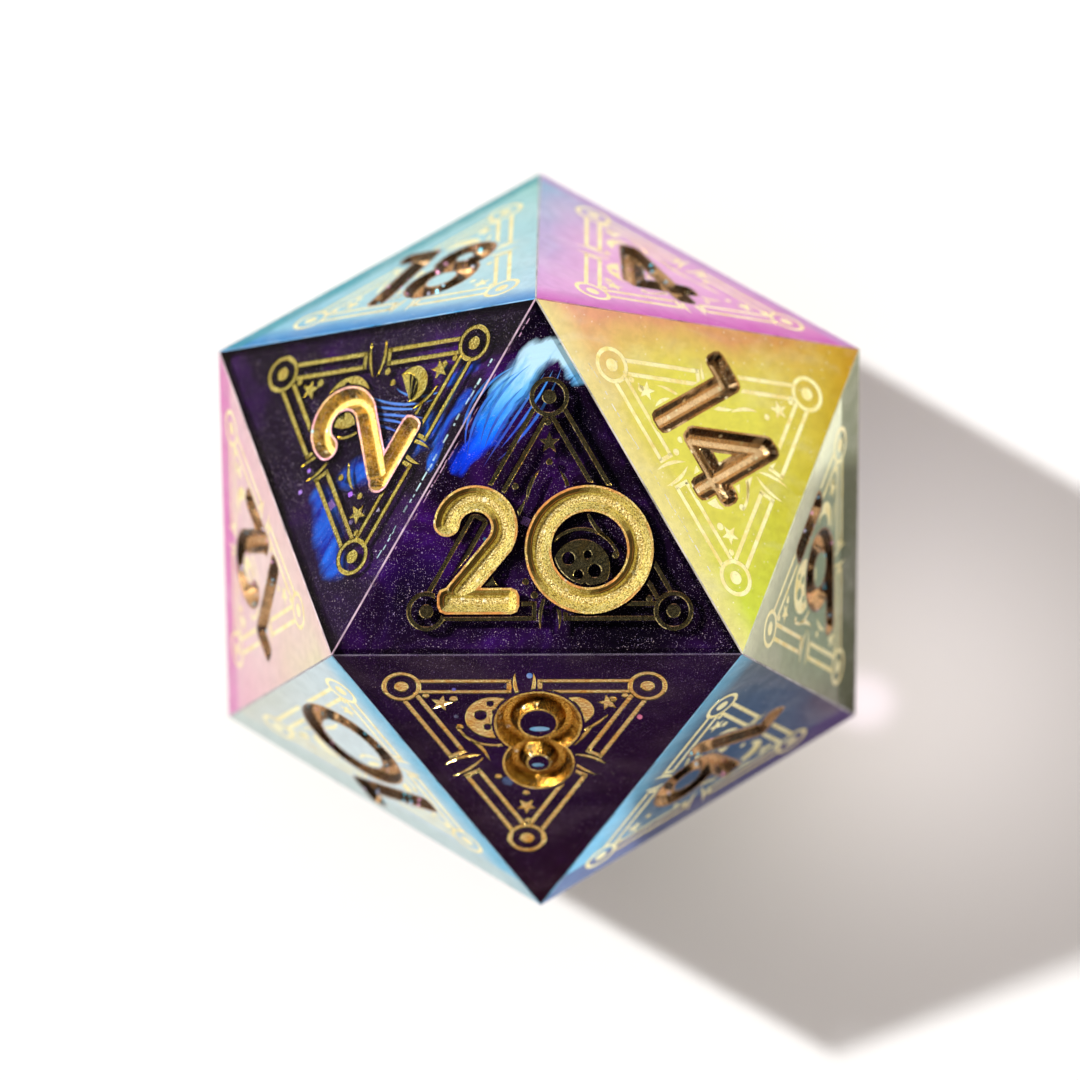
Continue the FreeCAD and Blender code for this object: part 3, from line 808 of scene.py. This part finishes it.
def make_foil(number, kind, material):
    """Foil of one face, pressed in a little so that each piece has sloping sides."""
    node = "ornament_%02d" % number
    margin, drop = FOILS[kind][3:]
    out = face_axes(number).out
    work = bmesh.new()
    work.from_mesh(NODES[node].data)
    bmesh.ops.remove_doubles(work, verts=work.verts, dist=SAME_POINT)

    def outer_faces():
        return [f for f in work.faces if out.dot(f.calc_center_median() - CENTRE) > INRADIUS - ON_PLANE]

    top = set(outer_faces())
    inner = [e for e in work.edges if len(e.link_faces) == 2 and top.issuperset(e.link_faces)]
    bmesh.ops.dissolve_limit(work, angle_limit=0.01, verts=[], edges=inner)
    top = outer_faces()
    bmesh.ops.inset_region(work, faces=top, thickness=margin * MM, depth=-drop * MM, use_even_offset=False)
    mesh = bpy.data.meshes.new("foil_%02d" % number)
    work.to_mesh(mesh)
    work.free()
    stand_in(add_mesh(mesh, material), node)


def make_gold():
    foils = {kind: foil_material(kind) for kind in FOILS}
    for number in FACES:
        kind = GOLD_LIGHT_COPIES.get(number) or GOLD_LIGHT_COPIES.get(21 - number, "outer")
        give(NODES["numeral_%02d" % number], paint_material(number, kind))
        foil = kind if kind in FOILS else "plain"
        make_foil(number, foil, foils[foil])


# ---- pigment strands and flakes ----
def pigment_material():
    g = Surface("pigment")
    mottled = g.noise(900, 5, 0.6)
    tone = g.ramp(
        g.math("ADD", g.math("MULTIPLY", toward_apex(g, 5.0, 0.34), 0.8), g.math("MULTIPLY", mottled, 0.4)),
        (0.2, colour("0a1c84")),
        (0.45, colour("1248c8")),
        (0.75, colour("3c98ec")),
        (1.0, colour("b8e4f8")),
    )
    tone = g.mix(g.ramp(mottled, (0.35, 0.5), (0.6, 0.0)), tone, colour("0a1c70"))
    return g.finish(g.shader("BsdfPrincipled", Base_Color=tone, Roughness=0.45))


def flake_material():
    g = Surface("flake")
    hue = g.cells(900, "Color")
    tone = g.mix(0.5, g.mix(1.0, hue, colour("e060c0"), "OVERLAY"), colour("50a0ff"))
    return g.finish(g.shader("BsdfPrincipled", Base_Color=tone, Metallic=0.8, Roughness=0.25))


make_skin()
make_coat()
make_edges()
give(NODES["tinted_core"], core_material())
make_gold()
give(NODES["pigment_swirl"], pigment_material())
give(NODES["glitter_flakes"], flake_material())


# ---- floor, light and camera ----
FLOOR_HALF = 3.0          # metres
FLOOR_LEVEL = -0.01 * MM  # just under the die's lowest face
AREA_DISTANCE = 1.0       # metres from the die to the area lights
SPOT_ELEVATION = 60
# soft cards seen only in reflections: azimuth, elevation, cosines of their soft rim, colour
CARDS = (
    (30, 5, 0.74, 0.86, (1.15, 1.13, 1.08)),
    (150, 8, 0.90, 0.96, (0.32, 0.29, 0.20)),
    (270, 6, 0.92, 0.97, (0.50, 0.31, 0.36)),
)
ROOM = (0.012, 0.012, 0.014, 1)
LENS = 203.1              # mm, with a sensor 36 mm wide
CAMERA_PLACE = Vector((-0.00115, -0.0123, 15.55)) * EDGE  # from the die's middle, before the tilt
CAMERA_TILT = (("Z", 0.186), ("Y", -0.717), ("X", 0.18))  # axes and degrees
FOCUS_SHARE = 0.049       # the focus lies this share of the way from the die's middle to the camera


def make_floor():
    g = Surface("pale_floor")
    clouds = g.ramp(g.noise(40, 4), (0.3, 0.0), (0.7, 0.03))
    tone = g.mix(clouds, (0.86, 0.86, 0.86, 1), (0.8, 0.79, 0.78, 1))
    signs = ((-1, -1), (1, -1), (1, 1), (-1, 1))
    corners = [(x * FLOOR_HALF, y * FLOOR_HALF, FLOOR_LEVEL) for x, y in signs]
    mesh = mesh_of(corners, [(0, 1, 2, 3)], "floor")
    add_mesh(mesh, g.finish(g.shader("BsdfDiffuse", Color=tone, Roughness=0.3)))


def place_lamp(data, power, shade, target, toward, distance):
    """Lamp that shines at its target from a direction and distance."""
    data.energy = power
    data.color = shade
    lamp = bpy.data.objects.new(data.name, data)
    lamp.location = target + toward * distance
    lamp.rotation_mode = "QUATERNION"
    lamp.rotation_quaternion = toward.to_track_quat("Z", "Y")
    bpy.context.scene.collection.objects.link(lamp)
    return lamp


def area_light(name, elevation, size, power, shade):
    """Round light aimed at the die's middle."""
    data = bpy.data.lights.new(name, "AREA")
    data.shape = "DISK"
    data.size = size
    return place_lamp(data, power, shade, CENTRE, direction(LIGHT_FROM, elevation), AREA_DISTANCE)


def spot_light(name, aim, azimuth, distance, angle, power, shade, softness):
    """Narrow spot with a soft rim, aimed at a point of the floor given in mm."""
    data = bpy.data.lights.new(name, "SPOT")
    data.spot_size = math.radians(angle)
    data.spot_blend = 1.0
    data.shadow_soft_size = softness
    target = Vector((aim[0] * MM, aim[1] * MM, 0))
    place_lamp(data, power, shade, target, direction(azimuth, SPOT_ELEVATION), distance)


def make_world():
    world = bpy.data.worlds.new("studio")
    bpy.context.scene.world = world
    g = Graph(world)
    way = g.add("ShaderNodeTexCoord").outputs["Generated"]
    seen = ROOM
    for azimuth, elevation, outer, inner, shade in CARDS:
        facing = g.vector("DOT_PRODUCT", way, tuple(direction(azimuth, elevation)))
        limits = {"Value": facing, "From Min": outer, "From Max": inner}
        card = g.add("ShaderNodeMapRange", limits, interpolation_type="SMOOTHSTEP")
        seen = g.mix(card.outputs[0], seen, shade + (1,))
    mirrored = g.shader("Background", Color=seen, Strength=1.0)
    fill = g.shader("Background", Color=(1.0, 0.90, 0.85, 1), Strength=0.58)
    plain = g.shader("Background", Color=(1, 1, 1, 1), Strength=1.0)
    lit = g.blend(g.ray("Diffuse"), mirrored, fill)
    g.end("ShaderNodeOutputWorld", g.blend(g.ray("Camera"), lit, plain))


def make_camera():
    data = bpy.data.cameras.new("camera")
    camera = bpy.data.objects.new("camera", data)
    bpy.context.scene.collection.objects.link(camera)
    data.sensor_width = 36
    data.lens = LENS
    data.clip_start = 0.01
    data.clip_end = 50
    # the die's own small tilt toward the camera, turned into the camera's place
    tilt = Matrix.Identity(3)
    for axis, degrees in CAMERA_TILT:
        tilt = tilt @ Matrix.Rotation(math.radians(degrees), 3, axis)
    camera.rotation_mode = "QUATERNION"
    camera.location = CENTRE + tilt.transposed() @ CAMERA_PLACE
    camera.rotation_quaternion = tilt.transposed().to_quaternion()
    # the focus follows the camera, so that it stays just in front of the die's middle
    focus = bpy.data.objects.new("focus", None)
    focus.location = CENTRE
    bpy.context.scene.collection.objects.link(focus)
    follow = focus.constraints.new("COPY_LOCATION")
    follow.target = camera
    follow.influence = FOCUS_SHARE
    data.dof.use_dof = True
    data.dof.focus_object = focus
    data.dof.aperture_fstop = 50
    bpy.context.scene.camera = camera


make_floor()
make_world()
area_light("key", 46.5, 0.045, 10.4, (1.0, 1.0, 0.99))
glint = area_light("glint", 38, 0.4, 4.5, (1.0, 0.97, 0.9))
glint.visible_diffuse = False
# light that the resin passes on into its own shadow, and the small bright spot beside one corner
spot_light("through", (12.7, -5.3), -20, 0.6, 1.75, 7.2, (1.0, 0.93, 0.90), 0.005)
spot_light("caustic", (11.25, -5.95), -10, 0.15, 0.9, 0.38, (1.0, 0.80, 1.0), 0.0004)
make_camera()
view = bpy.context.scene.view_settings
view.view_transform = "Standard"
view.look = "None"
